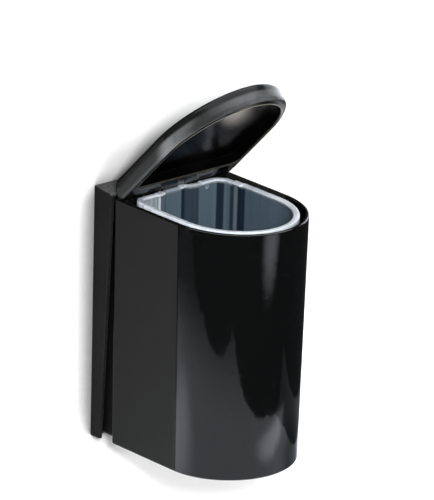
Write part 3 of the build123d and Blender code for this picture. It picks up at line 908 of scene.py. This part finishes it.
def soft_patch(name, middle, half_size, turn, adds, keeps, above, tint=TINT):
    """An oval over the table that adds light and keeps that share of what lies under it."""
    made, tree = bare_material(name)
    fade = ramp(tree, from_middle(tree), 1.0, 0.25)
    lit = node(tree, "ShaderNodeEmission", {"Color": tint})
    tree.links.new(maths(tree, "MULTIPLY", fade, adds), lit.inputs["Strength"])
    clear = node(tree, "ShaderNodeBsdfTransparent")
    kept = mix_colours(tree, fade, (1.0, 1.0, 1.0), (keeps, keeps, keeps))
    tree.links.new(kept, clear.inputs["Color"])
    both = node(tree, "ShaderNodeAddShader")
    tree.links.new(lit.outputs["Emission"], both.inputs[0])
    tree.links.new(clear.outputs["BSDF"], both.inputs[1])
    tree.links.new(both.outputs["Shader"], tree.nodes["Material Output"].inputs["Surface"])
    corners = [(-1.0, -1.0, 0.0), (1.0, -1.0, 0.0), (1.0, 1.0, 0.0), (-1.0, 1.0, 0.0)]
    patch = card(name, corners, made)
    patch.location = (*middle, TABLE_LEVEL + above)
    patch.rotation_euler = (0.0, 0.0, math.radians(turn))
    patch.scale = (*half_size, 1.0)


dome_mesh = bpy.data.meshes.new("dark_studio")
dome = bmesh.new()
bmesh.ops.create_icosphere(dome, subdivisions=3, radius=STUDIO_RADIUS)
dome.to_mesh(dome_mesh)
dome.free()
dome_mesh.materials.append(glow("studio_dark", STUDIO_GLOW))
dark_studio = bpy.data.objects.new("dark_studio", dome_mesh)
bpy.context.scene.collection.objects.link(dark_studio)
reflected_only(dark_studio)

table_white = glow("table_white", TABLE_GLOW, *TABLE_FADES, TABLE_FAR_SHARE)
side_table_grey = glow("side_table_grey", SIDE_TABLE_GLOW)
card("table_top", [(x, y, TABLE_LEVEL) for x, y in TABLE_OUTLINE], table_white)
card("side_table", [(x, y, TABLE_LEVEL) for x, y in SIDE_TABLE_OUTLINE], side_table_grey)
soft_patch("left_glow", (-0.235, 0.02), (0.17, 0.12), turn=150, adds=1.15, keeps=1.0, above=0.001)
soft_patch("front_glow", (0.105, -0.285), (0.13, 0.042), turn=12, adds=1.9, keeps=1.0, above=0.001)
soft_patch("far_glow", (0.11, -0.70), (0.20, 0.16), turn=5, adds=1.9, keeps=1.0, above=0.001)
soft_patch("right_shade", (0.16, -0.13), (0.11, 0.13), turn=0, adds=0.0, keeps=0.25, above=0.002)
soft_patch("side_shade", (-0.22, 0.19), (0.30, 0.10), turn=-47, adds=0.0, keeps=0.06, above=0.002)
soft_patch(
    "lid_glow", (0.046, -0.073), (0.021, 0.016), turn=-20, adds=2.8, keeps=1.0, above=0.267,
    tint=WARM_TINT,
)
soft_patch("rim_glow", (0.068, -0.082), (0.022, 0.022), turn=0, adds=1.6, keeps=1.0, above=0.289)
overhead_white = glow("overhead_white", OVERHEAD_GLOW)
card("overhead_card", [(x, y, OVERHEAD_LEVEL) for x, y in OVERHEAD_OUTLINE], overhead_white)
right_white = glow("right_white", RIGHT_CARD_GLOW)
card("right_card", [(RIGHT_CARD_X, y, z) for y, z in RIGHT_CARD_OUTLINE], right_white)

# ---------------------------------------------------------------- lights
# A key light from the front left, a little higher than the eye, gives a narrow shadow. The rest is
# even light from the white room.
KEY_PLACE = (-1.20, -1.85, 1.00)
KEY_SIZE = 0.35
KEY_WATTS = 70.0
ROOM_LIGHT = 0.38


def softbox(name, place, aim, size, watts):
    """A square area lamp that neither the camera nor the gloss sees."""
    lamp = bpy.data.lights.new(name, "AREA")
    lamp.shape = "SQUARE"
    lamp.size = size
    lamp.energy = watts
    made = bpy.data.objects.new(name, lamp)
    bpy.context.scene.collection.objects.link(made)
    made.location = place
    made.rotation_mode = "QUATERNION"
    made.rotation_quaternion = (Vector(aim) - Vector(place)).to_track_quat("-Z", "Y")
    made.visible_camera = False
    made.visible_glossy = False


softbox("key_light", KEY_PLACE, (0.0, 0.0, 0.0), KEY_SIZE, KEY_WATTS)

world = bpy.data.worlds.new("studio_air")
bpy.context.scene.world = world
world.use_nodes = True
air = world.node_tree
background = air.nodes["Background"]
background.inputs["Color"].default_value = (1.0, 1.0, 1.0, 1.0)
seen_by = node(air, "ShaderNodeLightPath").outputs
seen = maths(air, "ADD", seen_by["Is Camera Ray"], seen_by["Is Glossy Ray"], clamp=True)
seen = maths(air, "ADD", seen, seen_by["Is Transmission Ray"], clamp=True)
air.links.new(mix_values(air, seen, ROOM_LIGHT, 1.0), background.inputs["Strength"])

# ---------------------------------------------------------------- camera
# A long lens from the front left and above, aimed a little up and right of the bin's foot.
CAMERA_DISTANCE = 4.646
FOCAL_LENGTH = 455.8
SENSOR_WIDTH = 36.0
AIM_ACROSS, AIM_UP = 0.03533, 0.13103
azimuth, elevation, roll = math.radians(-40.91), math.radians(21.36), math.radians(-1.18)
along = -math.cos(azimuth) * math.cos(elevation)
toward = Vector((math.sin(azimuth) * math.cos(elevation), along, math.sin(elevation)))
across = Vector((math.cos(azimuth), math.sin(azimuth), 0.0))
upward = toward.cross(across)
foot = Vector((0.0, body_hi.y, body_lo.z))
aim = foot + across * AIM_ACROSS + upward * AIM_UP
lens = bpy.data.cameras.new("camera")
lens.lens = FOCAL_LENGTH
lens.sensor_width = SENSOR_WIDTH
lens.clip_end = 50.0
camera = bpy.data.objects.new("camera", lens)
bpy.context.scene.collection.objects.link(camera)
camera.location = foot + toward * CAMERA_DISTANCE
back = (camera.location - aim).normalized()
level_x = (across - back * across.dot(back)).normalized()
level_y = back.cross(level_x)
image_x = level_x * math.cos(roll) - level_y * math.sin(roll)
image_y = level_x * math.sin(roll) + level_y * math.cos(roll)
camera.rotation_mode = "QUATERNION"
camera.rotation_quaternion = Matrix((image_x, image_y, back)).transposed().to_quaternion()
bpy.context.scene.camera = camera
bpy.context.scene.view_settings.view_transform = "Standard"
